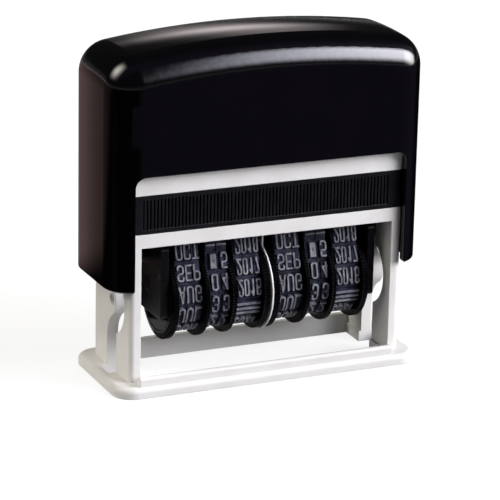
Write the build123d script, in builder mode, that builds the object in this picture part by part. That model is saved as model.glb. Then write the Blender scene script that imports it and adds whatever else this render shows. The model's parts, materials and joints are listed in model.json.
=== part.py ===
# Self-inking date stamp with two dates side by side, in millimetres.
# X runs along the stamp, the front faces -Y and Z is up. The origin is the
# middle of the base's underside. The cap is drawn up, with the type at the pad.
from build123d import *
import os
from math import cos, hypot, pi, sin, sqrt

os.makedirs("parts", exist_ok=True)

# Fits
face_gap = 0.1
slide_gap = 0.4
pin_play = 0.05
press_play = 0.02
merge = 0.5

# Base flange, with the window that the type prints through
flange_length = 70.0
flange_depth = 28.3
flange_thickness = 2.35
flange_corner = 4.5
flange_edge = 1.2
opening_half = 28.4
opening_front = -11.9
opening_rear = 9.15
foot_hole_end = 33.2
lip_front = -13.4
lip_left = -30.0
lip_right = 28.6
lip_top = 4.3
lip_edge = 0.7
sill_top = 4.5

# Frame above the flange
frame_half_length = 31.36
frame_half_depth = 10.5
frame_corner = 1.1
frame_wall = 2.46
frame_inside = frame_half_length - frame_wall
frame_top = 47.6
bar_depth = 2.0
bar_inside = frame_half_depth - bar_depth
bar_bottom = 31.75
pad_floor = 34.7
pad_roof = 43.13
top_plate = 2.0

# Cam slot in each side wall, round the nose on its rear edge
axle_z = 17.75
slot_front = -2.7
slot_rear = 2.6
slot_top = 30.0
recess_radius = 7.3
nose_tip = -2.4
nose_radius = 3.7
nose_blend = 6.0

# Cap
cap_half_length = 35.8
cap_half_depth = 12.6
cap_bottom = 22.5
cap_crown = 74.6
crown_radius = 210.0
crown_dome = 120.0
cap_shoulder = 6.9
cap_front_edge = 6.6
cap_rear_edge = 5.0
cap_foot = 0.7
cap_wall = 1.9
cap_roof = 2.2
cavity_dome = 600.0
cavity_shoulder = 5.0
cavity_edge = 3.1
window_half = 31.0
window_top = 47.6
window_corner = 2.3
window_foot = 1.0
guide_rib = 1.4
guide_rib_y = 7.0
guide_rib_bottom = 23.5
guide_rib_top = 66.0

# Stroke of the cap, and the pivot that turns the type from the pad to the paper
stroke = 19.5
type_height = 0.75
print_rest = 34.6
paper_gap = 0.1
pivot_z = (stroke + print_rest + paper_gap) / 2
pivot_radius = 1.6
hanger_half = 3.6
hanger_inside = 27.1
hanger_outside = 28.5
hanger_top = 70.9

# Ink pad cartridge
tray_half = 26.4
tray_rear = 10.3
tray_wall = 1.2
tray_roof = 2.0
plate_half = 30.6
plate_front = -10.45
plate_rear = -8.7
panel_left = -28.6
panel_right = 27.8
panel_border = 0.9
panel_depth = 0.6
rib_pitch = 0.79
rib_width = 0.42
rib_height = 0.5
felt_below = 0.05

# Thumb wheels and type bands, repeated for the two dates
wheel_radius = 9.75
wheel_face_radius = 8.4
wheel_bevel = 0.35
outer_wheel_width = 1.6
inner_wheel_width = 1.3
hub_radius = 6.45
axle_radius = 1.2
band_thickness = 0.9
band_gap = 0.3
month_width = 5.6
day_width = 2.4
year_width = 5.8
first_date = -21.3
separator_width = 0.3
separator_radius = 9.9
separator_neck = 3.6

# Carrier
cheek_gap = 0.2
cheek_half = 7.5
cheek_bottom = 14.4
cheek_shoulder = 30.4
cheek_neck = 4.0
cheek_top = 33.2
cheek_corner = 1.0
left_cheek_width = 1.8
right_cheek_width = 1.6
bridge_half = 3.0
bridge_bottom = 28.4
bridge_corner = 1.0

# Return spring
spring_radius = 4.2
spring_wire = 0.8
spring_turns = 5
spring_closing = 0.6
boss_radius = 3.0
frame_boss = 2.5
cap_boss = 1.5


def slab(low, high, mode=Mode.ADD):
    """A box between two corners."""
    with Locations(tuple((a + b) / 2 for a, b in zip(low, high))):
        Box(*(b - a for a, b in zip(low, high)), mode=mode)


def at(value, place):
    """Whether a coordinate is at a place, on either side of the middle."""
    return abs(abs(value) - abs(place)) < face_gap


def about(middle, radius, direction):
    """The point of a circle in one direction."""
    return (middle[0] + radius * direction[0], middle[1] + radius * direction[1])


# Frame


def cam_slot():
    """The slot's outline, as (y, z): straight above and below, and round the nose between."""
    nose = (nose_tip + nose_radius, axle_z)
    reach = nose_radius + nose_blend
    blend_y = slot_rear - nose_blend
    rise = sqrt(reach**2 - (nose[0] - blend_y) ** 2)
    rear, front = slot_rear, slot_front
    corner = sqrt(recess_radius**2 - front**2)
    start = (rear, -merge)
    Line(start, (rear, axle_z - rise))
    for side in (-1, 1):
        blend = (blend_y, axle_z + side * rise)
        towards = ((nose[0] - blend[0]) / reach, -side * rise / reach)
        touch = about(blend, nose_blend, towards)
        half = hypot(1 + towards[0], towards[1])
        middle = about(blend, nose_blend, ((1 + towards[0]) / half, towards[1] / half))
        ends = ((rear, blend[1]), touch)
        if side < 0:
            ThreePointArc(ends[0], middle, ends[1])
            lower_touch = touch
        else:
            ThreePointArc(lower_touch, (nose_tip, axle_z), touch)
            ThreePointArc(ends[1], middle, ends[0])
    end_radius = (rear - front) / 2
    Line((rear, axle_z + rise), (rear, slot_top))
    ThreePointArc((rear, slot_top), ((rear + front) / 2, slot_top + end_radius), (front, slot_top))
    Line((front, slot_top), (front, axle_z + corner))
    ThreePointArc((front, axle_z + corner), (-recess_radius, axle_z), (front, axle_z - corner))
    Polyline((front, axle_z - corner), (front, -merge), start)


with BuildPart() as inner_frame:
    with BuildSketch():
        RectangleRounded(flange_length, flange_depth, flange_corner)
    extrude(amount=flange_thickness)
    fillet(inner_frame.faces().sort_by(Axis.Z)[-1].edges(), flange_edge)
    for wall_x in (-frame_half_length, frame_inside):
        with BuildSketch(Plane.YZ.offset(wall_x)):
            with Locations((0, frame_top / 2)):
                Rectangle(2 * frame_half_depth, frame_top)
            with BuildLine():
                cam_slot()
            make_face(mode=Mode.SUBTRACT)
            with Locations((0, axle_z)):
                Circle(axle_radius, mode=Mode.SUBTRACT)
        extrude(amount=frame_wall)
    seat = flange_thickness - merge
    slab((lip_left, lip_front, seat), (lip_right, opening_front, lip_top))
    slab((-frame_inside, opening_rear, seat), (frame_inside, frame_half_depth, sill_top))
    slab(
        (-opening_half, opening_front, -merge),
        (opening_half, opening_rear, lip_top + sill_top),
        Mode.SUBTRACT,
    )
    slab(
        (-foot_hole_end, slot_front, -merge),
        (foot_hole_end, slot_rear, flange_thickness + merge),
        Mode.SUBTRACT,
    )
    slab(
        (-frame_half_length - merge, -frame_half_depth - merge, pad_floor),
        (frame_half_length + merge, -bar_inside, pad_roof),
        Mode.SUBTRACT,
    )
    for y_low, y_high in ((-frame_half_depth, -bar_inside), (bar_inside, frame_half_depth)):
        slab((-frame_inside - merge, y_low, bar_bottom), (frame_inside + merge, y_high, pad_floor))
        slab((-frame_half_length, y_low, pad_roof), (frame_half_length, y_high, frame_top))
    slab(
        (-frame_half_length, -frame_half_depth, frame_top - top_plate),
        (frame_half_length, frame_half_depth, frame_top),
    )
    for side in (-1, 1):
        hanger_way = sorted((side * (hanger_inside - slide_gap), side * frame_inside))
        slab(
            (hanger_way[0], -hanger_half - slide_gap, frame_top - top_plate - merge),
            (hanger_way[1], hanger_half + slide_gap, frame_top + merge),
            Mode.SUBTRACT,
        )
    upright = inner_frame.edges().filter_by(Axis.Z)
    corners = upright.filter_by(
        lambda edge: at(edge.center().X, frame_half_length) and at(edge.center().Y, frame_half_depth)
    )
    fillet(corners, frame_corner)
    lip_edges = inner_frame.edges().filter_by(Axis.X).filter_by(
        lambda edge: at(edge.center().Z, lip_top) and edge.center().Y < 0
    )
    fillet(lip_edges, lip_edge)
    with Locations((0, 0, frame_top + frame_boss / 2)):
        Cylinder(boss_radius, frame_boss)


# Cap


def crowned_block(half_length, half_depth, bottom, crown, radius, dome, shoulder, edges):
    """A block with a top crowned along and across, round shoulders, and rounded rims."""
    axis_z = crown - radius
    width = half_depth + merge
    rim_radius = radius - (dome - sqrt(dome**2 - width**2))
    with BuildPart() as block:
        with BuildSketch(Plane.YZ):
            with BuildLine():
                ThreePointArc(
                    (-width, axis_z - rim_radius), (0, axis_z - radius), (width, axis_z - rim_radius)
                )
                Polyline(
                    (width, axis_z - rim_radius),
                    (width, axis_z),
                    (-width, axis_z),
                    (-width, axis_z - rim_radius),
                )
            make_face()
        revolve(axis=Axis((0, 0, axis_z), (0, 1, 0)))
        with Locations((0, 0, (bottom + crown + merge) / 2)):
            Box(2 * half_length, 2 * half_depth, crown + merge - bottom, mode=Mode.INTERSECT)
        fillet([end.edges().sort_by(Axis.Z)[-1] for end in block.faces().filter_by(Axis.X)], shoulder)
        for rim_place, edge in zip((0, -1), edges):
            face = block.faces().sort_by(Axis.Y)[rim_place]
            fillet(face.edges().filter_by(lambda rim: rim.center().Z > bottom + merge), edge)
    return block.part


ceiling = cap_crown - cap_roof
cap_block = crowned_block(
    cap_half_length,
    cap_half_depth,
    cap_bottom,
    cap_crown,
    crown_radius,
    crown_dome,
    cap_shoulder,
    (cap_front_edge, cap_rear_edge),
)
cap_cavity = crowned_block(
    cap_half_length - cap_wall,
    cap_half_depth - cap_wall,
    cap_bottom - 2 * merge,
    ceiling,
    crown_radius - cap_roof,
    cavity_dome,
    cavity_shoulder,
    (cavity_edge, cavity_edge),
)

with BuildPart() as outer_cap:
    add(cap_block)
    fillet(outer_cap.faces().sort_by(Axis.Z)[0].edges(), cap_foot)
    add(cap_cavity, mode=Mode.SUBTRACT)
    with BuildSketch(Plane.XZ) as window:
        with Locations((0, window_top / 2)):
            Rectangle(2 * window_half, window_top)
        fillet(window.vertices().group_by(Axis.Y)[-1], window_corner)
        for side in (-1, 1):
            leg_round = (side * (window_half + window_foot), cap_bottom + window_foot)
            with Locations((leg_round[0] - side * window_foot / 2, cap_bottom + window_foot / 2)):
                Rectangle(window_foot, window_foot)
            with Locations(leg_round):
                Circle(window_foot, mode=Mode.SUBTRACT)
    extrude(amount=cap_half_depth + merge, both=True, mode=Mode.SUBTRACT)
    for side in (-1, 1):
        rib_ends = sorted(
            (side * (frame_half_length + slide_gap), side * (cap_half_length - cap_wall + merge))
        )
        for rib_y in (-guide_rib_y, guide_rib_y):
            slab(
                (rib_ends[0], rib_y - guide_rib / 2, guide_rib_bottom),
                (rib_ends[1], rib_y + guide_rib / 2, guide_rib_top),
            )
    for hanger_x in (-hanger_outside, hanger_inside):
        with BuildSketch(Plane.YZ.offset(hanger_x)):
            with Locations((0, (pivot_z + hanger_top) / 2)):
                Rectangle(2 * hanger_half, hanger_top - pivot_z)
            with Locations((0, pivot_z)):
                Circle(hanger_half)
                Circle(pivot_radius + pin_play, mode=Mode.SUBTRACT)
        extrude(amount=hanger_outside - hanger_inside)
    with Locations((0, 0, ceiling - cap_boss / 2 + merge / 2)):
        Cylinder(boss_radius, cap_boss + merge)


# Return spring: one wire on quarter turns, each of two tangent arcs

spring_low = frame_top + spring_wire / 2 + pin_play
spring_rise = ceiling - spring_wire / 2 - pin_play - spring_low
spring_angle = 2 * pi * spring_turns


def spring_point(angle):
    """A point of the wire's centre line, and its direction; the end turns lie closer."""
    part = angle / spring_angle
    height = spring_low + spring_rise * (part - spring_closing * sin(2 * pi * part) / (2 * pi))
    slope = spring_rise / spring_angle * (1 - spring_closing * cos(2 * pi * part))
    where = Vector(spring_radius * cos(angle), spring_radius * sin(angle), height)
    along = Vector(-spring_radius * sin(angle), spring_radius * cos(angle), slope)
    return where, along.normalized()


def biarc(begin, end):
    """Two arcs that join two points with given directions, tangent all the way."""
    (start, first), (finish, last) = begin, end
    span = finish - start
    lean = span.dot(first + last)
    bend = 2 * (1 - first.dot(last))
    reach = (sqrt(lean**2 + bend * span.dot(span)) - lean) / bend
    a = start + first * reach
    b = finish - last * reach
    joint = (a + b) / 2
    TangentArc(start, joint, tangent=first)
    TangentArc(joint, finish, tangent=(b - a).normalized())


quarter = pi / 2
with BuildPart() as return_spring:
    with BuildLine() as wire_path:
        for turn in range(4 * spring_turns):
            biarc(spring_point(turn * quarter), spring_point((turn + 1) * quarter))
    wire_start, wire_direction = spring_point(0)
    with BuildSketch(Plane(wire_start, z_dir=wire_direction)):
        Circle(spring_wire / 2)
    sweep(path=wire_path.wires()[0])

wire_steps = 48
wire_points = [
    spring_point(2 * pi * n / wire_steps)[0] for n in range(wire_steps * spring_turns + 1)
]
wire_gap = min(
    (wire_points[n] - other).length - spring_wire
    for n in range(len(wire_points))
    for other in wire_points[n + wire_steps // 2 :]
)
print(f"least gap of the spring to itself: {wire_gap:.2f} mm")


# Ink pad cartridge

pad_bottom = pad_floor + face_gap
pad_top = pad_roof - face_gap
panel_bottom = pad_bottom + panel_border
panel_top = pad_top - panel_border
panel_width = panel_right - panel_left
rib_count = int(panel_width / rib_pitch)
tray_front = plate_rear + tray_wall

with BuildPart() as ink_pad_tray:
    slab((-plate_half, plate_front, pad_bottom), (plate_half, plate_rear, pad_top))
    slab((-tray_half, plate_rear - merge, pad_bottom), (tray_half, tray_rear, pad_top))
    slab(
        (tray_wall - tray_half, tray_front, pad_bottom - merge),
        (tray_half - tray_wall, tray_rear - tray_wall, pad_top - tray_roof),
        Mode.SUBTRACT,
    )
    slab(
        (panel_left, plate_front - merge, panel_bottom),
        (panel_right, plate_front + panel_depth, panel_top),
        Mode.SUBTRACT,
    )
    rib_y = plate_front + panel_depth - rib_height / 2
    with Locations(((panel_left + panel_right) / 2, rib_y, (panel_bottom + panel_top) / 2)):
        with GridLocations(rib_pitch, 1, rib_count, 1):
            Box(rib_width, rib_height, panel_top - panel_bottom)

with BuildPart() as ink_pad_felt:
    slab(
        (tray_wall - tray_half + face_gap, tray_front + face_gap, pad_bottom - felt_below),
        (
            tray_half - tray_wall - face_gap,
            tray_rear - tray_wall - face_gap,
            pad_top - tray_roof,
        ),
    )


# Wheels and bands: each piece's place along the axle comes from the widths


def band_outline(wheel, corner, corner_y, corner_z):
    """A belt round the wheel and over the platen's two corners, as (y, z)."""
    reach = hypot(corner_y, corner_z - axle_z)
    along = (corner_y / reach, (corner_z - axle_z) / reach)
    part = (wheel - corner) / reach
    across = sqrt(1 - part**2)
    normal = (part * along[0] + across * along[1], part * along[1] - across * along[0])
    low = about((0, axle_z), wheel, normal)
    high = about((corner_y, corner_z), corner, normal)
    turn = hypot(normal[0], 1 + normal[1])
    bend = about((corner_y, corner_z), corner, (normal[0] / turn, (1 + normal[1]) / turn))
    top = corner_z + corner
    Line(low, high)
    ThreePointArc(high, bend, (corner_y, top))
    Line((corner_y, top), (-corner_y, top))
    ThreePointArc((-corner_y, top), (-bend[0], bend[1]), (-high[0], high[1]))
    Line((-high[0], high[1]), (-low[0], low[1]))
    ThreePointArc((-low[0], low[1]), (0, axle_z - wheel), low)


bridge_top = print_rest - type_height - band_thickness - pin_play
band_inside = hub_radius + band_gap
band_corner_y = bridge_half - bridge_corner
band_corner_z = bridge_top - bridge_corner


def type_band(left, width):
    """A rubber band round a hub and over the platen."""
    with BuildPart() as band:
        with BuildSketch(Plane.YZ.offset(left)):
            with BuildLine():
                band_outline(
                    band_inside + band_thickness,
                    bridge_corner + pin_play + band_thickness,
                    band_corner_y,
                    band_corner_z,
                )
            make_face()
            with BuildLine():
                band_outline(
                    band_inside, bridge_corner + pin_play, band_corner_y, band_corner_z
                )
            make_face(mode=Mode.SUBTRACT)
        extrude(amount=width)
    return band.part


def thumb_wheel(outer_face, hub_end, width):
    """A disc whose bevelled face is outermost, with the hub that its band runs on."""
    way = 1 if hub_end > outer_face else -1
    disc_end = outer_face + way * width
    edge = wheel_bevel / 2
    bore = axle_radius + pin_play
    profile = [
        (outer_face, bore),
        (outer_face, wheel_face_radius),
        (outer_face + way * wheel_bevel, wheel_radius),
        (disc_end - way * edge, wheel_radius),
        (disc_end, wheel_radius - edge),
        (disc_end, hub_radius),
        (hub_end, hub_radius),
        (hub_end, bore),
    ]
    with BuildPart() as wheel:
        with BuildSketch(Plane.XZ):
            with BuildLine():
                Polyline(*((x, axle_z + r) for x, r in profile), close=True)
            make_face()
        revolve(axis=Axis((0, 0, axle_z), (1, 0, 0)))
    return wheel.part


wheel_widths = 2 * (outer_wheel_width + inner_wheel_width)
date_width = wheel_widths + month_width + 2 * day_width + year_width + 7 * face_gap
second_date = first_date + date_width + separator_width + 2 * face_gap
last_face = second_date + date_width

bands = {}
wheels = {}
for name, left in (("first", first_date), ("second", second_date)):
    month = left + outer_wheel_width + face_gap
    tens_wheel = month + month_width + face_gap
    tens = tens_wheel + inner_wheel_width + face_gap
    ones = tens + day_width + face_gap
    ones_wheel = ones + day_width + face_gap
    year = ones_wheel + inner_wheel_width + face_gap
    year_wheel = year + year_width + face_gap
    bands[f"{name}_month_band"] = type_band(month, month_width)
    bands[f"{name}_day_tens_band"] = type_band(tens, day_width)
    bands[f"{name}_day_ones_band"] = type_band(ones, day_width)
    bands[f"{name}_year_band"] = type_band(year, year_width)
    month_end = month + month_width
    tens_end = tens + day_width
    ones_face = ones_wheel + inner_wheel_width
    year_face = year_wheel + outer_wheel_width
    wheels[f"{name}_month_wheel"] = thumb_wheel(left, month_end, outer_wheel_width)
    wheels[f"{name}_day_tens_wheel"] = thumb_wheel(tens_wheel, tens_end, inner_wheel_width)
    wheels[f"{name}_day_ones_wheel"] = thumb_wheel(ones_face, ones, inner_wheel_width)
    wheels[f"{name}_year_wheel"] = thumb_wheel(year_face, year, outer_wheel_width)


# Carrier


def cheek(left, width):
    """An end plate that holds the axle, the platen and a pivot pin."""
    with BuildPart() as plate:
        with BuildSketch(Plane.YZ.offset(left)):
            with Locations((0, (cheek_bottom + cheek_shoulder) / 2)):
                RectangleRounded(2 * cheek_half, cheek_shoulder - cheek_bottom, cheek_corner)
            with Locations((0, (cheek_bottom + cheek_top) / 2)):
                RectangleRounded(2 * cheek_neck, cheek_top - cheek_bottom, cheek_corner)
            with Locations((0, axle_z)):
                Circle(axle_radius + press_play, mode=Mode.SUBTRACT)
            with Locations((0, pivot_z)):
                Circle(pivot_radius + press_play, mode=Mode.SUBTRACT)
        extrude(amount=width)
    return plate.part


def rod(left, right, radius, height):
    """A round pin along X."""
    with BuildPart() as pin:
        with BuildSketch(Plane.YZ.offset(left)):
            with Locations((0, height)):
                Circle(radius)
        extrude(amount=right - left)
    return pin.part


left_inner = first_date - cheek_gap
left_outer = left_inner - left_cheek_width
right_inner = last_face + cheek_gap
right_outer = right_inner + right_cheek_width

left_cheek = cheek(left_outer, left_cheek_width)
right_cheek = cheek(right_inner, right_cheek_width)
wheel_axle = rod(left_outer, right_outer, axle_radius, axle_z)
pivot_pin_left = rod(-hanger_outside, left_inner, pivot_radius, pivot_z)
pivot_pin_right = rod(right_inner, hanger_outside, pivot_radius, pivot_z)

with BuildPart() as print_bridge:
    with BuildSketch(Plane.YZ.offset(left_inner)) as platen:
        with Locations((0, (bridge_bottom + bridge_top) / 2)):
            Rectangle(2 * bridge_half, bridge_top - bridge_bottom)
        fillet(platen.vertices().group_by(Axis.Y)[-1], bridge_corner)
    extrude(amount=right_inner - left_inner)

with BuildPart() as centre_separator:
    with BuildSketch(Plane.YZ.offset(first_date + date_width + face_gap)):
        with Locations((0, axle_z)):
            Circle(separator_radius)
        neck_top = bridge_top - bridge_corner
        with Locations((0, (axle_z + neck_top) / 2)):
            Rectangle(2 * separator_neck, neck_top - axle_z)
        with Locations((0, (bridge_bottom + bridge_top) / 2)):
            Rectangle(
                2 * (bridge_half + pin_play),
                bridge_top - bridge_bottom + 2 * pin_play,
                mode=Mode.SUBTRACT,
            )
        with Locations((0, axle_z)):
            Circle(axle_radius + press_play, mode=Mode.SUBTRACT)
    extrude(amount=separator_width)

pieces = {
    "inner_frame": inner_frame.part,
    "outer_cap": outer_cap.part,
    "return_spring": return_spring.part,
    "ink_pad_tray": ink_pad_tray.part,
    "ink_pad_felt": ink_pad_felt.part,
    "left_cheek": left_cheek,
    "right_cheek": right_cheek,
    "print_bridge": print_bridge.part,
    "wheel_axle": wheel_axle,
    "pivot_pin_left": pivot_pin_left,
    "pivot_pin_right": pivot_pin_right,
    "centre_separator": centre_separator.part,
    **bands,
    **wheels,
}
for name, piece in pieces.items():
    piece.label = name
    export_step(piece, f"parts/{name}.step")
print(f"{len(pieces)} pieces, pivot at {pivot_z:.2f} mm")
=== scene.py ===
# %% [markdown]
# # A self-inking date stamp with two dates
# The real stamp is a glossy black cap that slides down over a white moulded frame.
# In the frame hangs a carrier with eight thumb wheels, and a rubber band of raised
# type runs round each of them. A felt pad in a pull-out tray inks the type. The
# solids of all this come packed. This lesson gives each its finish, and adds what is
# too fine for a solid: knurled rims, raised type and the nap of the felt.

import json
from math import atan2, ceil, cos, hypot, pi, radians, sin, sqrt

import bpy
from mathutils import Matrix, Vector, noise

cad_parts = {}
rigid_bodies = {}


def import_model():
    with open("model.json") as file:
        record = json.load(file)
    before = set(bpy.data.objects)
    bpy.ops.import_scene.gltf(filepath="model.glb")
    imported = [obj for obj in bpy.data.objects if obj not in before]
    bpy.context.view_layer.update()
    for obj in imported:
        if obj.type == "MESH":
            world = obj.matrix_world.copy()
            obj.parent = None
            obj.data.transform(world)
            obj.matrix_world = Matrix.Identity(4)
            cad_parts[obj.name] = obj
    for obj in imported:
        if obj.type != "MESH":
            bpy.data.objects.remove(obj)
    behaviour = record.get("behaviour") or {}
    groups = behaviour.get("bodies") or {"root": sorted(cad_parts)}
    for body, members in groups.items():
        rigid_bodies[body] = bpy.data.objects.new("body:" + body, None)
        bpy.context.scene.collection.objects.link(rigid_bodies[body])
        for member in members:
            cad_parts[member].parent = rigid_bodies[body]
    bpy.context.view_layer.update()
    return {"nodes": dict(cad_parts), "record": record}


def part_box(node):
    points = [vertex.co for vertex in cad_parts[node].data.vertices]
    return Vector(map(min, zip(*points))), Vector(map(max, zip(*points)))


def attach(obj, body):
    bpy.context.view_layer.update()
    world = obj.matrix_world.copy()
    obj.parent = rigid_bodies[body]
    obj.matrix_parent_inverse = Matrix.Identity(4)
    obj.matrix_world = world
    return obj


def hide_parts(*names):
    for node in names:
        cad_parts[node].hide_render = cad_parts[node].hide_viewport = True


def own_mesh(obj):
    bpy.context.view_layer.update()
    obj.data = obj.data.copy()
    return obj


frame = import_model()
nodes = frame["nodes"]
mm = 0.001

# %% [markdown]
# ## The camera
# The stamp was photographed with a long lens, from its left and a little above. A
# camera can be turned by hand until the edges agree. Here its angles, distance and
# target were solved from corners of the object, so they are simply written down.

# %% Place the camera
view_azimuth = radians(-24.082)
view_elevation = radians(17.772)
view_roll = radians(1.237)
view_distance = 601.75 * mm
view_target = Vector((0.361, 0, 25.178)) * mm
sensor_width = 36.0
lens_length = 201.6


def look_from(azimuth, elevation, roll):
    """The way back to the camera, and the camera's axes as a matrix."""
    back = Vector((sin(azimuth) * cos(elevation), -cos(azimuth) * cos(elevation), sin(elevation)))
    level = Vector((cos(azimuth), sin(azimuth), 0))
    rise = back.cross(level)
    right = level * cos(roll) + rise * sin(roll)
    up = rise * cos(roll) - level * sin(roll)
    return back, Matrix((right, up, back)).transposed()


def link(name, data):
    """A new object in the scene."""
    made = bpy.data.objects.new(name, data)
    bpy.context.scene.collection.objects.link(made)
    return made


back, axes = look_from(view_azimuth, view_elevation, view_roll)
camera = link("camera", bpy.data.cameras.new("camera"))
camera.data.sensor_width = sensor_width
camera.data.lens = lens_length
camera.matrix_world = Matrix.Translation(view_target + back * view_distance) @ axes.to_4x4()
bpy.context.scene.camera = camera
bpy.context.scene.view_settings.view_transform = "Standard"
print("camera at", [round(c, 3) for c in camera.location])

# %% [markdown]
# ## Shader maths as plain arithmetic
# Every finish below is a small sum of noises and masks. Clicking Math nodes together
# hides such a sum, so a wire wraps a socket, and + - * on wires adds the nodes. Any
# other node comes from one method: its settings first, then its sockets.

# %% Wrap a socket
class Wire:
    """One socket of a node tree, with arithmetic that adds Math nodes."""

    def __init__(self, tree, socket=None):
        self.tree = tree
        self.socket = socket

    def node(self, kind, settings=(), inputs=(), output=None):
        """Any node: its settings, then the values or wires of its sockets."""
        made = self.tree.nodes.new(kind)
        for name, value in dict(settings).items():
            setattr(made, name, value)
        sockets = {socket.identifier: socket for socket in made.inputs}
        for name, value in dict(inputs).items():
            if isinstance(value, Wire):
                self.tree.links.new(value.socket, sockets[name])
            else:
                sockets[name].default_value = value
        results = {socket.identifier: socket for socket in made.outputs}
        first = next(iter(results.values()), None)
        return Wire(self.tree, results[output] if output else first)

    def maths(self, operation, first, second):
        """A Math node on two wires or numbers."""
        return self.node(
            "ShaderNodeMath", {"operation": operation}, {"Value": first, "Value_001": second}
        )

    def __add__(self, other):
        return self.maths("ADD", self, other)

    def __radd__(self, other):
        return self.maths("ADD", other, self)

    def __sub__(self, other):
        return self.maths("SUBTRACT", self, other)

    def __rsub__(self, other):
        return self.maths("SUBTRACT", other, self)

    def __mul__(self, other):
        return self.maths("MULTIPLY", self, other)

    def __rmul__(self, other):
        return self.maths("MULTIPLY", other, self)


def smooth_range(wire, low, high, start, end):
    """A wire eased from one pair of values to another, and held beyond them."""
    return wire.node(
        "ShaderNodeMapRange",
        {"interpolation_type": "SMOOTHSTEP"},
        {"Value": wire, "From Min": low, "From Max": high, "To Min": start, "To Max": end},
    )


def mix_colours(factor, first, second):
    """A colour between two colours or wires of colour."""
    ends = {"A_Color": first, "B_Color": second}
    colours = {k: v if isinstance(v, Wire) else (*v, 1) for k, v in ends.items()}
    return factor.node(
        "ShaderNodeMix",
        {"data_type": "RGBA"},
        {"Factor_Float": factor, **colours},
        output="Result_Color",
    )


print("wires add, subtract and multiply")

# %% [markdown]
# ## Floor and surroundings
# The picture is plain white all round. A white card that bounces all its light would
# also wash out the black cap, so most of the floor's white is its own glow, seen by
# the camera and in reflections, and a fifth of it takes light and shadow. The world
# is a dim grey at the horizon and fades with height, so the cap's flat top stays black.

# %% Lay the floor and set the world
floor_half = 3.0
floor_drop = 0.02 * mm
floor_take = 0.20
floor_glow = 0.83
horizon_top = 0.02
dim_from = 0.13
world_low = 0.10
world_high = 0.015


def fresh_tree(owner):
    """The emptied node tree of a material, light or world, as a wire to start from."""
    owner.use_nodes = True
    owner.node_tree.nodes.clear()
    return Wire(owner.node_tree)


corners = [(-1, -1), (1, -1), (1, 1), (-1, 1)]
floor_mesh = bpy.data.meshes.new("floor")
floor_mesh.from_pydata(
    [(x * floor_half, y * floor_half, -floor_drop) for x, y in corners], [], [(0, 1, 2, 3)]
)
floor_card = bpy.data.materials.new("floor_card")
start = fresh_tree(floor_card)
seen = start.node("ShaderNodeLightPath", output="Is Camera Ray")
for ray in ("Is Glossy Ray", "Is Transmission Ray"):
    seen = seen + start.node("ShaderNodeLightPath", output=ray)
card = start.node("ShaderNodeBsdfDiffuse", inputs={"Color": (floor_take,) * 3 + (1,)})
glow = start.node("ShaderNodeEmission", inputs={"Strength": seen * floor_glow})
both = start.node("ShaderNodeAddShader", inputs={"Shader": card, "Shader_001": glow})
start.node("ShaderNodeOutputMaterial", inputs={"Surface": both})
floor_mesh.materials.append(floor_card)
floor = link("floor", floor_mesh)

world = bpy.data.worlds.new("studio")
bpy.context.scene.world = world
start = fresh_tree(world)
direction = start.node("ShaderNodeTexCoord", output="Generated")
height = start.node("ShaderNodeSeparateXYZ", inputs={"Vector": direction}, output="Z")
level = smooth_range(height, horizon_top, dim_from, world_low, world_high)
sky = start.node("ShaderNodeBackground", inputs={"Strength": level})
start.node("ShaderNodeOutputWorld", inputs={"Surface": sky})
print("floor", 2 * floor_half, "m wide")

# %% [markdown]
# ## Soft boxes
# Gloss is only what it reflects. The broad band along the cap's front shoulder is a
# soft box in front and to the right, leaning, and brighter on its right. The patch on
# the left corner is a second box, and the dim band along the crown is a small window
# behind. Two more boxes lift the left walls and the back, and are kept out of
# reflections. A lamp's own grid of positions gives each its gradient.

# %% Hang the soft boxes
soft_edge = ((0.0, 0.5, 0.0, 1.0), (0.5, 1.0, 1.0, 0.0))
broad_edge = ((0.0, 0.35, 0.0, 1.0), (0.65, 1.0, 1.0, 0.0))


def soft_box(
    name, bearing, height, away, size, radiance, tints, across, upward=soft_edge, lean=0.0
):
    """An area lamp that faces the stamp, shaped by eased ranges over its width and height."""
    lamp = bpy.data.lights.new(name, "AREA")
    lamp.shape = "RECTANGLE"
    lamp.size, lamp.size_y = size
    lamp.energy = radiance * pi * size[0] * size[1]
    start = fresh_tree(lamp)
    grid = start.node("ShaderNodeNewGeometry", output="Parametric")
    shape = 1.0
    for axis, ranges in (("X", across), ("Y", upward)):
        place_on = start.node("ShaderNodeSeparateXYZ", inputs={"Vector": grid}, output=axis)
        for limits in ranges:
            shape = shape * smooth_range(place_on, *limits)
    width = start.node("ShaderNodeSeparateXYZ", inputs={"Vector": grid}, output="X")
    shine = start.node(
        "ShaderNodeEmission", inputs={"Color": mix_colours(width, *tints), "Strength": shape}
    )
    start.node("ShaderNodeOutputLight", inputs={"Surface": shine})
    box = link(name, lamp)
    out, turned = look_from(radians(bearing), radians(height), radians(lean))
    box.matrix_world = Matrix.Translation(view_target + out * away) @ turned.to_4x4()
    return box


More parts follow.
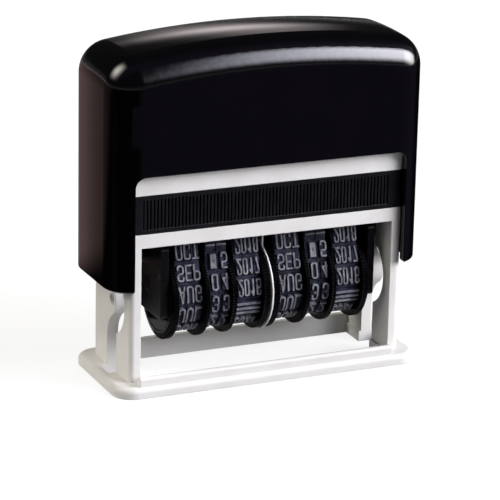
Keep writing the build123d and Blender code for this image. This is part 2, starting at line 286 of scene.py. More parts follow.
soft_box(
    "key_box",
    bearing=49,
    height=28,
    away=1.26,
    size=(1.70, 1.25),
    radiance=13.9,
    tints=((0.80, 0.81, 1.0), (1.0, 0.97, 0.92)),
    across=[(0.08, 0.50, 0.0, 1.0), (0.62, 1.0, 1.0, 0.45)],
    upward=broad_edge,
    lean=-27,
)
soft_box(
    "left_box",
    bearing=-108,
    height=43,
    away=1.10,
    size=(0.80, 1.20),
    radiance=7.0,
    tints=((1.0, 0.93, 0.85), (1.0, 0.93, 0.85)),
    across=soft_edge,
)
soft_box(
    "rear_box",
    bearing=157.5,
    height=17.0,
    away=1.30,
    size=(0.36, 0.28),
    radiance=1.35,
    tints=((1.0, 0.90, 0.90), (1.0, 0.90, 0.90)),
    across=soft_edge,
)
fill_box = soft_box(
    "fill_box",
    bearing=-86,
    height=26,
    away=1.20,
    size=(1.20, 1.00),
    radiance=5.6,
    tints=((1.0, 0.97, 0.92), (1.0, 0.97, 0.92)),
    across=soft_edge,
)
back_box = soft_box(
    "back_box",
    bearing=160,
    height=10,
    away=1.20,
    size=(1.40, 1.00),
    radiance=3.6,
    tints=((1.0, 0.97, 0.94), (1.0, 0.97, 0.94)),
    across=soft_edge,
)
for box in (fill_box, back_box):
    box.visible_glossy = False
print("five soft boxes")

# %% [markdown]
# ## A flag for the gloss
# A black cap on a white table mirrors the table and looks grey. A photographer lays
# dark cards round it, outside the picture. This one ring is seen in reflections only.
# It is black, but for two dim patches: a brown one behind, which the cap's left end
# catches, and a bluish one in front, which leaves its front not quite black.

# %% Lay the flag
flag_inner = 46 * mm
flag_outer = 2400 * mm
flag_lift = 0.4 * mm
flag_sides = 48
cap_end = 36 * mm
rear_from = (60 * mm, 90 * mm)
rear_bright, rear_faint = 0.33, 0.065
front_bright = 0.05
front_from = (-30 * mm, 20 * mm)
near_from = (-30 * mm, -20 * mm)
front_end = (-14.4 * mm, -14.0 * mm)
ring = [(cos(2 * pi * k / flag_sides), sin(2 * pi * k / flag_sides)) for k in range(flag_sides)]
flag_faces = []
for k in range(flag_sides):
    n = (k + 1) % flag_sides
    flag_faces.append((k, n, flag_sides + n, flag_sides + k))
flag_mesh = bpy.data.meshes.new("flag")
flag_mesh.from_pydata(
    [(r * x, r * y, flag_lift) for r in (flag_inner, flag_outer) for x, y in ring],
    [],
    flag_faces,
)
flag_card = bpy.data.materials.new("flag_card")
start = fresh_tree(flag_card)
spot = start.node("ShaderNodeNewGeometry", output="Position")
across = start.node("ShaderNodeSeparateXYZ", inputs={"Vector": spot}, output="X")
behind = start.node("ShaderNodeSeparateXYZ", inputs={"Vector": spot}, output="Y")
aside = start.maths("DIVIDE", 0.0 - across - cap_end, behind)
rear_dim = smooth_range(aside, -0.10, 0.10, 0.0, 1.0)
rear_dim = rear_dim * smooth_range(aside, 0.06, 0.55, rear_bright, rear_faint)
rear_dim = rear_dim * smooth_range(behind, *rear_from, 0.0, 1.0)
near = smooth_range(behind, *near_from, 0.0, front_bright)
front_dim = start.maths("MAXIMUM", smooth_range(across, *front_from, 0.0, front_bright), near)
front_dim = front_dim * smooth_range(behind, *front_end, 1.0, 0.0)
brown, blue = (1.0, 0.66, 0.62), (0.66, 0.56, 0.95)
tone = start.node(
    "ShaderNodeEmission",
    inputs={
        "Color": mix_colours(smooth_range(behind, -1 * mm, 1 * mm, 0.0, 1.0), blue, brown),
        "Strength": rear_dim + front_dim,
    },
)
start.node("ShaderNodeOutputMaterial", inputs={"Surface": tone})


def hang_flag(name, mesh):
    """A dark card of the studio that only gloss can see."""
    mesh.materials.append(flag_card)
    card = link(name, mesh)
    card.visible_camera = False
    card.visible_diffuse = False
    card.visible_shadow = False
    card.visible_transmission = False


hang_flag("flag", flag_mesh)
print("a flag", 2 * flag_outer, "m across")

# %% [markdown]
# ## A hood for the crown
# Seen from behind, the cap's top mirrors the soft box in front and burns out. A card
# held close in front of the top's edge stops that. It is cut to the crown's curve, so
# the shoulder below it still sees the box. A second card does it for the pressed cap.

# %% Hang the hood
hood_away = 14.6 * mm
hood_ends = (-120 * mm, 220 * mm)
hood_top = 170 * mm
hood_gap = 2.6 * mm
hood_steps = 24
crown_radius = 210 * mm
stroke = 19.5 * mm
pressed_rise = (0.8 * mm, 9.4 * mm)
pressed_ends = (-33 * mm, 60 * mm)
cap_low, cap_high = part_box("outer_cap")


def crown_height(x):
    """The height of the cap's crown over a place along it."""
    return cap_high.z - min(abs(x), cap_high.x) ** 2 / (2 * crown_radius)


def upright_card(name, edges):
    """A card in front of the cap, from its lower and upper edge at places along it."""
    count = len(edges)
    points = [(x, -hood_away, low) for x, low, _ in edges]
    points += [(x, -hood_away, high) for x, _, high in edges]
    faces = [(k, k + 1, count + k + 1, count + k) for k in range(count - 1)]
    mesh = bpy.data.meshes.new(name)
    mesh.from_pydata(points, [], faces)
    hang_flag(name, mesh)


along_cap = [cap_low.x + (cap_high.x - cap_low.x) * k / hood_steps for k in range(hood_steps + 1)]
hood_places = [hood_ends[0], *along_cap, hood_ends[1]]
upright_card("hood", [(x, crown_height(x) + hood_gap, hood_top) for x in hood_places])
pressed_places = [x for x in along_cap if x > pressed_ends[0]] + [pressed_ends[1]]
pressed_edges = []
for x in pressed_places:
    pressed = crown_height(x) - stroke
    pressed_edges.append((x, *(pressed + rise for rise in pressed_rise)))
upright_card("pressed_hood", pressed_edges)
print("two hoods", hood_away / mm, "mm in front of the middle")

# %% [markdown]
# ## Moulded plastics
# Cap, frame, tray, carrier and wheels are all injection moulded. They differ in
# colour, gloss and how fine the mould's surface is. Every moulded edge has a small
# radius, so a bevelled normal rounds the edges, and where it leaves the plain normal
# is the edge itself: there handling has polished and lightened the plastic. The cap's
# long walls and ends also bow a little as they cool, which a broad bump adds.

# %% Mix the plastics
def cloud(start, coords, size, detail=3.0):
    """A soft noise with features of a given size in metres, from 0 to 1."""
    return start.node(
        "ShaderNodeTexNoise", inputs={"Vector": coords, "Scale": 1 / size, "Detail": detail}
    )


bow_reach = 8 * mm
flow_size = 9 * mm
matte_size = 2.5 * mm
noise_span = (0.3, 0.7)


def moulded(name, colours, wear_and_glint, gloss, grain, depth, edge, shine=0.5, coat=0.0, bow=0.0):
    """A moulded plastic: two close colours, lightened edges, a gloss range and a mould grain."""
    material = bpy.data.materials.new(name)
    start = fresh_tree(material)
    coords = start.node("ShaderNodeTexCoord", output="Object")
    plain = start.node("ShaderNodeNewGeometry", output="Normal")
    rounded = start.node("ShaderNodeBevel", {"samples": 6}, {"Radius": edge})
    agree = start.node(
        "ShaderNodeVectorMath",
        {"operation": "DOT_PRODUCT"},
        {"Vector": plain, "Vector_001": rounded},
        output="Value",
    )
    rub = smooth_range(1 - agree, 0.02, 0.30, 0.0, 1.0)
    flow = cloud(start, coords, flow_size)
    fine = cloud(start, coords, grain)
    body = mix_colours(smooth_range(flow, *noise_span, 0.0, 1.0), *colours)
    colour = mix_colours(rub * smooth_range(fine, *noise_span, 0.4, 1.0), body, wear_and_glint)
    matte = smooth_range(cloud(start, coords, matte_size), *noise_span, *gloss)
    skin = start.node(
        "ShaderNodeBump", inputs={"Height": fine, "Distance": depth, "Normal": rounded}
    )
    if bow:
        depth_in = start.node("ShaderNodeSeparateXYZ", inputs={"Vector": coords}, output="Y")
        swell = depth_in * depth_in * (-1 / bow_reach**2)
        skin = start.node(
            "ShaderNodeBump", inputs={"Height": swell, "Distance": bow, "Normal": skin}
        )
    surface = start.node(
        "ShaderNodeBsdfPrincipled",
        inputs={
            "Base Color": colour,
            "Roughness": matte,
            "Normal": skin,
            "Specular IOR Level": shine,
            "Coat Weight": coat,
            "Coat Roughness": gloss[0],
        },
    )
    start.node("ShaderNodeOutputMaterial", inputs={"Surface": surface})
    return material


cap_plastic = moulded(
    "cap_plastic",
    colours=((0.0009, 0.0008, 0.0012), (0.0014, 0.0012, 0.0018)),
    wear_and_glint=(0.004, 0.004, 0.005),
    gloss=(0.10, 0.12),
    grain=1.2 * mm,
    depth=0.002 * mm,
    edge=0.25 * mm,
    coat=0.75,
    bow=0.35 * mm,
)
frame_plastic = moulded(
    "frame_plastic",
    colours=((0.78, 0.775, 0.745), (0.72, 0.71, 0.675)),
    wear_and_glint=(0.84, 0.84, 0.82),
    gloss=(0.36, 0.46),
    grain=0.16 * mm,
    depth=0.006 * mm,
    edge=0.22 * mm,
)
pad_plastic = moulded(
    "pad_plastic",
    colours=((0.0030, 0.0030, 0.0042), (0.0048, 0.0048, 0.0062)),
    wear_and_glint=(0.045, 0.044, 0.050),
    gloss=(0.30, 0.40),
    grain=0.12 * mm,
    depth=0.005 * mm,
    edge=0.10 * mm,
    shine=0.30,
)
carrier_plastic = moulded(
    "carrier_plastic",
    colours=((0.0030, 0.0026, 0.0032), (0.0045, 0.0040, 0.0048)),
    wear_and_glint=(0.012, 0.011, 0.012),
    gloss=(0.26, 0.36),
    grain=0.12 * mm,
    depth=0.004 * mm,
    edge=0.20 * mm,
    shine=0.15,
)
wheel_plastic = moulded(
    "wheel_plastic",
    colours=((0.0010, 0.0009, 0.0012), (0.0018, 0.0016, 0.0021)),
    wear_and_glint=(0.006, 0.006, 0.008),
    gloss=(0.24, 0.32),
    grain=0.15 * mm,
    depth=0.003 * mm,
    edge=0.06 * mm,
    shine=0.02,
)
wheel_gloss = moulded(
    "wheel_gloss",
    colours=((0.0050, 0.0034, 0.0048), (0.0064, 0.0046, 0.0062)),
    wear_and_glint=(0.012, 0.012, 0.015),
    gloss=(0.05, 0.09),
    grain=0.60 * mm,
    depth=0.001 * mm,
    edge=0.06 * mm,
    shine=0.03,
)
# Light grey for the inner corners of the teeth tips: a painted highlight for the glint there.
tooth_glint = moulded(
    "tooth_glint",
    colours=((0.035, 0.033, 0.038), (0.075, 0.070, 0.080)),
    wear_and_glint=(0.12, 0.12, 0.13),
    gloss=(0.35, 0.50),
    grain=0.30 * mm,
    depth=0.003 * mm,
    edge=0.04 * mm,
    shine=0.30,
)
separator_plastic = moulded(
    "separator_plastic",
    colours=((0.84, 0.84, 0.83), (0.80, 0.80, 0.79)),
    wear_and_glint=(0.88, 0.88, 0.87),
    gloss=(0.35, 0.45),
    grain=0.15 * mm,
    depth=0.003 * mm,
    edge=0.05 * mm,
)
print(len(bpy.data.materials), "materials so far")

# %% [markdown]
# ## Rubber, steel and felt
# The bands are vulcanised rubber, dull and dark blue grey, and their type is painted a
# lighter grey: a painted highlight for the light its raised faces catch. The pins are
# blackened steel and the spring is bright, both drawn, with fine lines. The pad is felt
# soaked with black ink, a tangle of fibres at two scales.

# %% Mix the other finishes
bloom_size = 1.6 * mm
rubber_grain = 0.10 * mm
rubber_depth = 0.012 * mm
rubber_gloss = (0.45, 0.65)
steel_lines = 0.10 * mm
steel_depth = 0.004 * mm
steel_gloss = (0.22, 0.34)
tuft_size = 1.4 * mm
fibre_size = 0.16 * mm
felt_depth = 0.12 * mm
felt_gloss = (0.45, 0.85)


def rubber(name, colours, gloss, shine):
    """A dull rubber with a bloom of dust and a fine moulded skin."""
    material = bpy.data.materials.new(name)
    start = fresh_tree(material)
    coords = start.node("ShaderNodeTexCoord", output="Object")
    bloom = smooth_range(cloud(start, coords, bloom_size), 0.35, 0.70, 0.0, 1.0)
    fine = cloud(start, coords, rubber_grain)
    skin = start.node("ShaderNodeBump", inputs={"Height": fine, "Distance": rubber_depth})
    surface = start.node(
        "ShaderNodeBsdfPrincipled",
        inputs={
            "Base Color": mix_colours(bloom, *colours),
            "Roughness": smooth_range(fine, *noise_span, *gloss),
            "Normal": skin,
            "Specular IOR Level": shine,
        },
    )
    start.node("ShaderNodeOutputMaterial", inputs={"Surface": surface})
    return material


def drawn_steel(name, colours):
    """Steel with fine lines along X."""
    material = bpy.data.materials.new(name)
    start = fresh_tree(material)
    coords = start.node("ShaderNodeTexCoord", output="Object")
    drawn = start.node("ShaderNodeMapping", inputs={"Vector": coords, "Scale": (0.06, 1, 1)})
    lines = cloud(start, drawn, steel_lines)
    skin = start.node("ShaderNodeBump", inputs={"Height": lines, "Distance": steel_depth})
    surface = start.node(
        "ShaderNodeBsdfPrincipled",
        inputs={
            "Base Color": mix_colours(lines, *colours),
            "Roughness": smooth_range(lines, *noise_span, *steel_gloss),
            "Metallic": 1.0,
            "Normal": skin,
        },
    )
    start.node("ShaderNodeOutputMaterial", inputs={"Surface": surface})
    return material


def inked_felt(name):
    """Felt wet with black ink: coarse tufts, and fibres across them."""
    material = bpy.data.materials.new(name)
    start = fresh_tree(material)
    coords = start.node("ShaderNodeTexCoord", output="Object")
    tufts = cloud(start, coords, tuft_size)
    along = start.node("ShaderNodeMapping", inputs={"Vector": coords, "Scale": (0.25, 1, 1)})
    fibres = cloud(start, along, fibre_size, detail=5.0)
    nap = tufts * 0.5 + fibres * 0.5
    skin = start.node("ShaderNodeBump", inputs={"Height": nap, "Distance": felt_depth})
    surface = start.node(
        "ShaderNodeBsdfPrincipled",
        inputs={
            "Base Color": mix_colours(fibres, (0.008, 0.008, 0.014), (0.040, 0.040, 0.055)),
            "Roughness": smooth_range(tufts, *noise_span, *felt_gloss),
            "Normal": skin,
            "Sheen Weight": 0.25,
        },
    )
    start.node("ShaderNodeOutputMaterial", inputs={"Surface": surface})
    return material


band_colours = ((0.010, 0.011, 0.021), (0.036, 0.040, 0.064))
# The type is painted lighter than its band: a painted highlight of its lit faces.
type_highlight_colours = ((0.13, 0.135, 0.160), (0.27, 0.275, 0.300))
band_rubber = rubber("band_rubber", band_colours, rubber_gloss, shine=0.08)
type_highlight_rubber = rubber("type_highlight_rubber", type_highlight_colours, rubber_gloss, shine=0.20)
spring_steel = drawn_steel("spring_steel", ((0.50, 0.50, 0.51), (0.66, 0.66, 0.67)))
pin_steel = drawn_steel("pin_steel", ((0.030, 0.030, 0.034), (0.055, 0.055, 0.060)))
felt = inked_felt("felt")
print(len(bpy.data.materials), "materials in all")

# %% [markdown]
# ## Dressing the solids
# A solid whose shape is right keeps it and only takes a finish. The names say what
# each one is, so a short table is enough.

# %% Give each solid its finish
finishes = {
    "inner_frame": frame_plastic,
    "outer_cap": cap_plastic,
    "ink_pad_tray": pad_plastic,
    "ink_pad_felt": felt,
    "centre_separator": separator_plastic,
    "_cheek": carrier_plastic,
    "print_bridge": carrier_plastic,
    "_wheel": wheel_plastic,
    "_band": band_rubber,
    "_axle": pin_steel,
    "pivot_pin": pin_steel,
    "_spring": spring_steel,
}
for name, solid in nodes.items():
    finish = next(finish for key, finish in finishes.items() if key in name)
    solid.data.materials.clear()
    solid.data.materials.append(finish)
print(len(nodes), "solids dressed")

# %% [markdown]
# ## Knurled thumb wheels
# A thumb turns each wheel by its rim, which is cut with about 96 fine teeth. They
# would catch no light as a bump, because they stand on the outline. So the wheel is
# turned again as one mesh: its profile goes round the axle, and at the rim the radius
# steps between the teeth's tips and roots. The flat face is polished, the rim is dull,
# and the inner corners of the teeth tips are painted light grey: a painted highlight.

# %% Turn the wheels
teeth = 96
tooth_depth = 0.24 * mm
rim_widths = {"month": 1.6 * mm, "tens": 1.3 * mm, "ones": 1.3 * mm, "year": 1.6 * mm}
rim_bevel = 0.35 * mm
rim_round = 0.175 * mm
face_radius = 8.4 * mm
hub_radius = 6.45 * mm
bore_radius = 1.25 * mm
groove_radius = 7.9 * mm
groove_depth = 0.12 * mm
axle_low, axle_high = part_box("wheel_axle")
axle_z = (axle_low.z + axle_high.z) / 2


def turn_wheel(node, faces_left):
    """A knurled wheel in the place of a plain one, with its bevelled face outermost."""
    low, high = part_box(node)
    outer, inner = (low.x, high.x) if faces_left else (high.x, low.x)
    way = 1 if faces_left else -1
    reach = abs(inner - outer)
    tip = (high.z - low.z) / 2
    rim_width = next(width for kind, width in rim_widths.items() if kind in node)
    profile = [
        (0, bore_radius, 0),
        (0, groove_radius - 2 * groove_depth, 0),
        (groove_depth, groove_radius - groove_depth, 0),
        (groove_depth, groove_radius, 0),
        (0, groove_radius + groove_depth, 0),
        (0, face_radius, 0),
        (rim_bevel, tip, tooth_depth),
        (rim_width - rim_round, tip, tooth_depth),
        (rim_width, tip - rim_round, tooth_depth),
        (rim_width, hub_radius, 0),
        (reach, hub_radius, 0),
        (reach, bore_radius, 0),
    ]
    bevel_start, inner_corner = 5, 7
    steps = 4 * teeth
    points = []
    for step in range(steps):
        angle = 2 * pi * step / steps
        root = step % 4 in (2, 3)
        for inset, radius, depth in profile:
            r = radius - depth * root
            points.append((outer + way * inset, r * cos(angle), axle_z + r * sin(angle)))
    count = len(profile)
    faces, tones = [], []
    for step in range(steps):
        a, b = step * count, (step + 1) % steps * count
        for k in range(count):
            n = (k + 1) % count
            ring = (a + k, b + k, b + n, a + n)
            faces.append(ring if faces_left else ring[::-1])
            # The inner corner of each tooth tip gets the light grey: a painted highlight.
            wear_and_glint = k == inner_corner and step % 4 == 0
            tones.append(2 if wear_and_glint else int(k < bevel_start))
    mesh = bpy.data.meshes.new(f"{node}_knurled")
    mesh.from_pydata(points, [], faces)
    for finish in (wheel_plastic, wheel_gloss, tooth_glint):
        mesh.materials.append(finish)
    mesh.polygons.foreach_set("material_index", tones)
    wheel = link(f"{node}_knurled", mesh)
    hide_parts(node)
    return wheel


wheel_bodies = {
    part: body
    for body, parts in frame["record"]["behaviour"]["bodies"].items()
    for part in parts
    if part.endswith("_wheel")
}
for node, body in wheel_bodies.items():
    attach(turn_wheel(node, faces_left="month" in node or "tens" in node), body)
print(len(wheel_bodies), "wheels of", teeth, "teeth")

# %% [markdown]
# ## The line a band follows
# A band runs from the platen's flat top over its rounded corner, straight down to the
# wheel, round it and up again. Type that is laid out flat has to bend along that line,
# so one function gives, for a length along the band, the point there and the way out.

# %% Follow the band
platen_round = 1.0 * mm
_, band_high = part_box("first_month_band")
_, bridge_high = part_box("print_bridge")
wheel_turn = band_high.y
corner_turn = platen_round + band_high.z - bridge_high.z
corner_y = bridge_high.y - platen_round
corner_z = band_high.z - corner_turn

span = hypot(corner_y, corner_z - axle_z)
lean = atan2(corner_z - axle_z, corner_y)
slope = lean - atan2(sqrt(span**2 - (wheel_turn - corner_turn) ** 2), wheel_turn - corner_turn)
stretches = (
    corner_y,
    corner_turn * (pi / 2 - slope),
    sqrt(span**2 - (wheel_turn - corner_turn) ** 2),
    wheel_turn * (pi / 2 + slope),
)
loop = 2 * sum(stretches)


def on_band(s):
    """A point of the band's outer face and the way out, from the print line down the front."""
    s = s % loop
    side = -1 if s < loop / 2 else 1
    s = min(s, loop - s)
    flat, bend, straight, _ = stretches
    if s < flat:
        y, z, angle = s, corner_z + corner_turn, pi / 2
    elif s < flat + bend:
        angle = pi / 2 - (s - flat) / corner_turn
        y, z = corner_y + corner_turn * cos(angle), corner_z + corner_turn * sin(angle)
    elif s < flat + bend + straight:
        angle = slope
        down = s - flat - bend
        y = corner_y + corner_turn * cos(angle) + down * sin(angle)
        z = corner_z + corner_turn * sin(angle) - down * cos(angle)
    else:
        angle = slope - (s - flat - bend - straight) / wheel_turn
        y, z = wheel_turn * cos(angle), axle_z + wheel_turn * sin(angle)
    return Vector((0, side * y, z)), Vector((0, side * cos(angle), sin(angle)))


rows = 14
row_pitch = loop / rows
print(f"a band is {loop / mm:.1f} mm long, with {rows} rows {row_pitch / mm:.2f} mm apart")

# %% [markdown]
# ## Characters of one stroke width
# Stamp type is narrow and has strokes of one width, unlike a text object's font. Each
# character here is a few strokes on a grid 2 wide and 4 high. A third number marks a
# corner that is rounded, in half widths, and a corner without it is sharp.

# %% Draw the characters
strokes = {
    "0": [[(1, 0), (0, 0, 1), (0, 4, 1), (2, 4, 1), (2, 0, 1), (1, 0)]],
    "1": [[(0.3, 3.1), (1.2, 4), (1.2, 0)]],
    "2": [[(0, 2.9), (0, 4, 1), (2, 4, 1), (2, 2.3, 0.6), (0, 0), (2, 0)]],
    "3": [
        [(0, 3.1), (0, 4, 1), (2, 4, 1), (2, 2.1, 1), (0.8, 2.1)],
        [(1, 2.1), (2, 2.1, 1), (2, 0, 1), (0, 0, 1), (0, 0.9)],
    ],
    "4": [[(1.4, 0), (1.4, 4), (0, 1.1), (2, 1.1)]],
    "5": [[(1.9, 4), (0.1, 4), (0.1, 2.4), (2, 2.4, 1), (2, 0, 1), (0, 0, 1), (0, 0.8)]],
    "6": [
        [(2, 3.2), (2, 4, 1), (0, 4, 1), (0, 0, 1), (2, 0, 1), (2, 2.3, 1), (0, 2.3, 1), (0, 1)]
    ],
    "7": [[(0, 4), (2, 4), (0.7, 0)]],
    "8": [
        [(1, 2.1), (0.1, 2.1, 0.9), (0.1, 4, 0.9), (1.9, 4, 0.9), (1.9, 2.1, 0.9), (1, 2.1)],
        [(1.1, 2.1), (0, 2.1, 1), (0, 0, 1), (2, 0, 1), (2, 2.1, 1), (0.9, 2.1)],
    ],
    "9": [
        [(0, 0.8), (0, 0, 1), (2, 0, 1), (2, 4, 1), (0, 4, 1), (0, 1.7, 1), (2, 1.7, 1), (2, 3)]
    ],
    "A": [[(0, 0), (1, 4), (2, 0)], [(0.35, 1.3), (1.65, 1.3)]],
    "B": [
        [(0, 0), (0, 4), (1.8, 4, 0.9), (1.8, 2.1, 0.9), (0, 2.1)],
        [(0.1, 2.1), (2, 2.1, 1), (2, 0, 1), (0, 0)],
    ],
    "C": [[(2, 2.9), (2, 4, 1), (0, 4, 1), (0, 0, 1), (2, 0, 1), (2, 1.1)]],
    "D": [[(0, 0), (0, 4), (2, 4, 1), (2, 0, 1), (0, 0)]],
    "E": [[(2, 4), (0, 4), (0, 0), (2, 0)], [(0, 2.1), (1.6, 2.1)]],
    "F": [[(2, 4), (0, 4), (0, 0)], [(0, 2.1), (1.6, 2.1)]],
    "G": [[(2, 2.9), (2, 4, 1), (0, 4, 1), (0, 0, 1), (2, 0, 1), (2, 1.8), (1.1, 1.8)]],
    "J": [[(0, 1.1), (0, 0, 1), (2, 0, 1), (2, 4)]],
    "L": [[(0, 4), (0, 0), (2, 0)]],
    "M": [[(0, 0), (0, 4), (1, 1.2), (2, 4), (2, 0)]],
    "N": [[(0, 0), (0, 4), (2, 0), (2, 4)]],
    "O": [[(1, 0), (0, 0, 1), (0, 4, 1), (2, 4, 1), (2, 0, 1), (1, 0)]],
    "P": [[(0, 0), (0, 4), (2, 4, 1), (2, 1.8, 1), (0, 1.8)]],
    "R": [[(0, 0), (0, 4), (2, 4, 1), (2, 1.9, 1), (0, 1.9)], [(0.9, 1.9), (2, 0)]],
    "S": [
        [
            (2, 3.1),
            (2, 4, 1),
            (0, 4, 1),
            (0, 2.1, 1),
            (2, 2.1, 1),
            (2, 0, 1),
            (0, 0, 1),
            (0, 0.9),
        ]
    ],
    "T": [[(0, 4), (2, 4)], [(1, 4), (1, 0)]],
    "U": [[(0, 4), (0, 0, 1), (2, 0, 1), (2, 4)]],
    "V": [[(0, 4), (1, 0), (2, 4)]],
    "Y": [[(0, 4), (1, 1.9), (2, 4)], [(1, 1.9), (1, 0)]],
    "=": [[(0, 0.6), (2, 0.6)], [(0, 2), (2, 2)], [(0, 3.4), (2, 3.4)]],
    "#": [
        [(0.35, 0.4), (0.35, 3.6)],
        [(1.65, 0.4), (1.65, 3.6)],
        [(1, 0.4), (1, 1.4)],
        [(1, 2.6), (1, 3.6)],
    ],
}
longest_step = 0.45 * mm
bend_steps = 5


def smooth_runs(corners, width, height):
    """One stroke in metres, cut at its sharp corners, with the marked corners rounded."""
    places = [Vector((c[0] * width / 2, c[1] * height / 4)) for c in corners]
    runs = [[places[0]]]
    for k in range(1, len(corners)):
        here = places[k]
        last = k == len(corners) - 1
        if last or len(corners[k]) < 3:
            runs[-1].append(here)
            if not last:
                runs.append([here])
            continue
        before, after = places[k - 1] - here, places[k + 1] - here
        turn = min(corners[k][2] * width / 2, before.length / 2, after.length / 2)
        first, final = here + before.normalized() * turn, here + after.normalized() * turn
        for n in range(bend_steps + 1):
            t = n / bend_steps
            runs[-1].append(first * (1 - t) ** 2 + here * 2 * t * (1 - t) + final * t**2)
    return runs


def even_steps(run):
    """A run with no step longer than the band can bend in."""
    points = [run[0]]
    for here in run[1:]:
        gap = here - points[-1]
        if gap.length < longest_step / 20:
            continue
        count = ceil(gap.length / longest_step)
        origin = points[-1]
        points.extend(origin + gap * (n / count) for n in range(1, count + 1))
    return points


print(len(strokes), "characters")

# %% [markdown]
# ## Raised type
# Each character is cast on a low block of its own, its body, and the face stands on
# that with sloping flanks. Both are ridges swept along a line: a foot, a narrower top
# and two ends. Type is read in a mirror, so a character's top points down the front.

# %% Raise the type
type_height = 0.75 * mm
body_height = 0.40 * mm
type_root = -0.12 * mm
face_half = 0.16 * mm
flank = 0.10 * mm
char_height = 3.15 * mm
body_margin = 0.20 * mm
bar_height = 0.25 * mm
bar_half = 0.16 * mm
block_pen = 0.27 * mm
side_margin = 0.12 * mm


def raise_ridge(mesh, run, origin, half, top, reach, tone):
    """A ridge along a run, as points across and along the band, added to a mesh's lists."""
    points = even_steps(run)
    ends = (points[0] - points[1]).normalized(), (points[-1] - points[-2]).normalized()
    points[0] = points[0] + ends[0] * reach
    points[-1] = points[-1] + ends[1] * reach
    verts, faces, tones = mesh
    first = len(verts)
    for k, point in enumerate(points):
        along = points[min(k + 1, len(points) - 1)] - points[max(k - 1, 0)]
        across = Vector((-along.y, along.x)).normalized()
        foot = half + flank
        for offset, rise in ((foot, type_root), (half, top), (-half, top), (-foot, type_root)):
            spot = point + across * offset
            on, out = on_band(origin[1] + spot.y)
            verts.append(on + out * rise + Vector((origin[0] + spot.x, 0, 0)))
    for k in range(len(points) - 1):
        a, b = first + 4 * k, first + 4 * k + 4
        faces.extend((b + n, b + (n + 1) % 4, a + (n + 1) % 4, a + n) for n in range(4))
    last = first + 4 * (len(points) - 1)
    faces.append((first, first + 1, first + 2, first + 3))
    faces.append((last + 3, last + 2, last + 1, last))
    tones.extend([tone] * (len(faces) - len(tones)))


def raise_row(mesh, text, right, s, width, pitch):
    """One row of characters that ends at the right, with its middle at s."""
    for place, letter in enumerate(reversed(text)):
        left = right - width - place * pitch
        origin = (left, s - char_height / 2)
        half = block_pen if letter == "#" else face_half
        for corners in strokes[letter]:
            for run in smooth_runs(corners, width, char_height):
                # Faces and flanks take the lighter type rubber, a painted highlight; bodies and
                # bars take the band's.
                raise_ridge(mesh, run, origin, half, type_height, half, tone=1)
        body = [Vector((width / 2, 0)), Vector((width / 2, char_height))]
        body_half = width / 2 + body_margin
        raise_ridge(mesh, body, origin, body_half, body_height, body_margin, tone=0)


def raise_type(date, kind, texts, width, pitch, phase):
    """All rows of one band, and the low bars between them, as one piece on the carrier."""
    low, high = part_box(f"{date}_{kind}_band")
    mesh = ([], [], [])
    left, right = low.x + side_margin + face_half, high.x - side_margin - face_half
    for k, text in enumerate(texts):
        s = phase + k * row_pitch
        raise_row(mesh, text, right, s, right - left if text == "=" else width, pitch)
        bar = [Vector((0, 0)), Vector((right - left, 0))]
        raise_ridge(mesh, bar, (left, s + row_pitch / 2), bar_half, bar_height, bar_half, tone=0)
    name = f"{date}_{kind}_type"
    data = bpy.data.meshes.new(name)
    data.from_pydata(mesh[0], [], mesh[1])
    data.materials.append(band_rubber)
    data.materials.append(type_highlight_rubber)
    data.polygons.foreach_set("material_index", mesh[2])
    piece = link(name, data)
    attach(piece, "carrier")
    return piece


months = "DEC NOV OCT SEP AUG JUL JUN MAY APR MAR FEB JAN = =".split()
years = "2020 2019 2018 2017 2016 = 2027 2026 2025 2024 2023 2022 2021 =".split()
tens = "1 = # 0 3 2 1 0 # 3 2 1 0 2".split()
ones = "= = 5 4 3 2 1 0 9 8 7 6 = =".split()
date_phase = -0.2 * mm
day_phase = 0.5 * row_pitch + 0.2 * mm
for date in ("first", "second"):
    raise_type(date, "month", months, 1.20 * mm, 1.85 * mm, date_phase)
    raise_type(date, "day_tens", tens, 1.15 * mm, 0, day_phase)
    raise_type(date, "day_ones", ones, 1.15 * mm, 0, day_phase)
    raise_type(date, "year", years, 0.82 * mm, 1.38 * mm, date_phase)
faces_of_type = sum(len(o.data.polygons) for o in bpy.data.objects if o.name.endswith("_type"))
print(faces_of_type, "faces of type")

# %% [markdown]
# ## The felt pad
# The felt is a soft block that the tray holds round its edges. Its lower edge is drawn
# in, and its lower face is rough with fibres. A grid of points, closed round its sides,
# gives the rounded edge and the nap, and stays inside the solid that it stands for.

# %% Make the felt
felt_step = 0.8 * mm
felt_round = 0.7 * mm
nap_height = 0.05 * mm
nap_size = 1.1 * mm


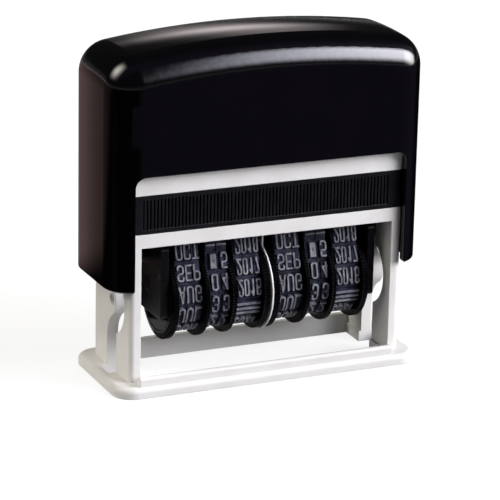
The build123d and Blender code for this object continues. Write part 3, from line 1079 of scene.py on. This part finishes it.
def felt_pad(node):
    """A pad with a rounded edge and a rough lower face, in the place of the plain block."""
    low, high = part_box(node)
    size = high - low
    columns, lines = ceil(size.x / felt_step), ceil(size.y / felt_step)
    verts, faces = [], []
    for top in (False, True):
        for j in range(lines + 1):
            for i in range(columns + 1):
                x, y = low.x + size.x * i / columns, low.y + size.y * j / lines
                rim = min(x - low.x, high.x - x, y - low.y, high.y - y)
                drawn = min(1.0, max(0.0, 1 - rim / felt_round))
                rough = 0.5 + 0.5 * noise.noise(Vector((x, y, 0)) / nap_size)
                rise = felt_round * (1 - sqrt(1 - drawn**2)) + nap_height * rough
                verts.append((x, y, high.z if top else low.z + rise))
    row = columns + 1
    sheet = row * (lines + 1)
    for j in range(lines):
        for i in range(columns):
            a = j * row + i
            faces.append((a, a + row, a + row + 1, a + 1))
            b = a + sheet
            faces.append((b, b + 1, b + row + 1, b + row))
    edge = list(range(columns))
    edge += [j * row + columns for j in range(lines)]
    edge += [lines * row + i for i in range(columns, 0, -1)]
    edge += [j * row for j in range(lines, 0, -1)]
    for a, b in zip(edge, edge[1:] + edge[:1]):
        faces.append((a, b, b + sheet, a + sheet))
    mesh = bpy.data.meshes.new("inked_felt_pad")
    mesh.from_pydata(verts, [], faces)
    mesh.materials.append(felt)
    pad = link("inked_felt_pad", mesh)
    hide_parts(node)
    return pad


pad = felt_pad("ink_pad_felt")
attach(pad, "ink_pad")
print("felt of", len(pad.data.polygons), "faces")

# %% [markdown]
# ## The return spring
# Five turns of steel wire lift the cap again. A rigid coil would pass through the pad
# when the cap goes down. The coil is wound once more, as a tube round a helix with
# closer end turns, and moves with the cap.

# %% Wind the spring
spring_turns = 5
spring_closing = 0.6
wire_half = 0.4 * mm
turn_steps = 40
wire_sides = 10


def wind_spring(node):
    """A coil of round wire in the place of the solid one, with closer end turns."""
    low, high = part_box(node)
    coil = (high.x - low.x) / 2 - wire_half
    foot, rise = low.z + wire_half, high.z - low.z - 2 * wire_half
    count = spring_turns * turn_steps
    verts = []
    for k in range(count + 1):
        part = k / count
        angle = 2 * pi * spring_turns * part
        height = foot + rise * (part - spring_closing * sin(2 * pi * part) / (2 * pi))
        out = Vector((cos(angle), sin(angle), 0))
        for side in range(wire_sides):
            around = 2 * pi * side / wire_sides
            reach = coil + wire_half * cos(around)
            verts.append(out * reach + Vector((0, 0, height + wire_half * sin(around))))
    last_ring = range(len(verts) - wire_sides, len(verts))
    faces = [tuple(range(wire_sides)), tuple(reversed(last_ring))]
    for k in range(count):
        for side in range(wire_sides):
            a, b = k * wire_sides + side, k * wire_sides + (side + 1) % wire_sides
            faces.append((a, a + wire_sides, b + wire_sides, b))
    mesh = bpy.data.meshes.new("wound_spring")
    mesh.from_pydata(verts, [], faces)
    mesh.shade_smooth()
    mesh.materials.append(spring_steel)
    spring = link("wound_spring", mesh)
    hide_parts(node)
    return spring


spring = wind_spring("return_spring")
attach(spring, "cap")
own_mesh(spring)
